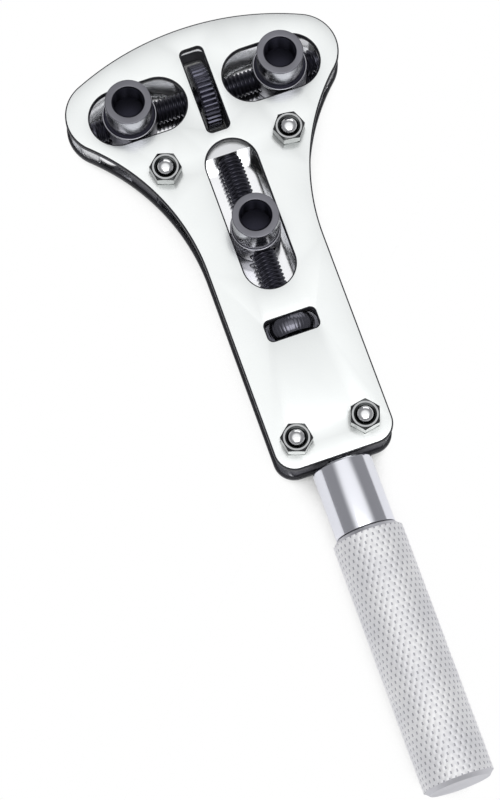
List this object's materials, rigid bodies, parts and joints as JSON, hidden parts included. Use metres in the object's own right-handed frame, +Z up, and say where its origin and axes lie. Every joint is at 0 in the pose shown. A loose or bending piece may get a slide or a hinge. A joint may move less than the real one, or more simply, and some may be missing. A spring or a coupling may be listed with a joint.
{
  "type": "case back opener",
  "caption": "Adjustable jaw wrench for screwed watch case backs: twin polished plates, bit sockets moved by screw spindles with thumbwheels, and a round knurled handle.",
  "frame": {"origin": "on the resting plane, below the middle of the tool's length and width", "axes": "+Z up through the plates towards the bit sockets, +Y along the tool from the handle to the head, +X to the right seen from above"},
  "size_m": [0.0678, 0.192, 0.0221],
  "materials": {
    "mirror_chrome": "mirror-polished plate",
    "nut_chrome": "bright plated fasteners",
    "black_oxide": "oiled black oxide on steel",
    "holder_black": "turned and blackened steel",
    "block_steel": "machined steel",
    "neck_chrome": "polished round bar",
    "grip_steel": "satin, fine diamond knurl"
  },
  "bodies": {
    "frame": {"top_plate": "mirror_chrome", "bottom_plate": "mirror_chrome", "plate_screw_1": "nut_chrome", "plate_screw_2": "nut_chrome", "plate_screw_3": "nut_chrome", "plate_screw_4": "nut_chrome", "hex_nut_1": "nut_chrome", "hex_nut_2": "nut_chrome", "hex_nut_3": "nut_chrome", "hex_nut_4": "nut_chrome", "spacer_left": "black_oxide", "spacer_right": "black_oxide", "lateral_bearing_left": "block_steel", "lateral_bearing_right": "block_steel", "long_bearing_front": "block_steel", "long_bearing_rear": "block_steel", "tail_block": "black_oxide", "handle_neck": "neck_chrome", "handle_grip": "grip_steel"},
    "lateral_drive": {"lateral_spindle": "black_oxide", "lateral_thumbwheel": "black_oxide"},
    "jaw_left": {"jaw_carrier_left": "black_oxide", "bit_holder_left": "holder_black"},
    "jaw_right": {"jaw_carrier_right": "black_oxide", "bit_holder_right": "holder_black"},
    "long_drive": {"long_spindle": "black_oxide", "long_thumbwheel": "black_oxide"},
    "jaw_centre": {"jaw_carrier_centre": "black_oxide", "bit_holder_centre": "holder_black"}
  },
  "joints": [
    {"name": "lateral_spindle_turn", "type": "hinge", "parent": "frame", "child": "lateral_drive", "pos_m": [0, 0.0795, 0.0086], "axis": [1, 0, 0], "range_deg": [-1008, 2592]},
    {"name": "jaw_left_slide", "type": "slide", "parent": "frame", "child": "jaw_left", "axis": [1, 0, 0], "range_m": [-0.0028, 0.0072]},
    {"name": "jaw_right_slide", "type": "slide", "parent": "frame", "child": "jaw_right", "axis": [1, 0, 0], "range_m": [-0.0072, 0.0028]},
    {"name": "long_spindle_turn", "type": "hinge", "parent": "frame", "child": "long_drive", "pos_m": [0, 0.0178, 0.0086], "axis": [0, 1, 0], "range_deg": [-4680, 3312]},
    {"name": "jaw_centre_slide", "type": "slide", "parent": "frame", "child": "jaw_centre", "axis": [0, 1, 0], "range_m": [-0.0092, 0.013]}
  ],
  "couplings": [
    {"joint": "jaw_left_slide", "follows": "lateral_spindle_turn", "m_per_rad": 0.00015915},
    {"joint": "jaw_right_slide", "follows": "lateral_spindle_turn", "m_per_rad": -0.00015915},
    {"joint": "jaw_centre_slide", "follows": "long_spindle_turn", "m_per_rad": -0.00015915}
  ]
}
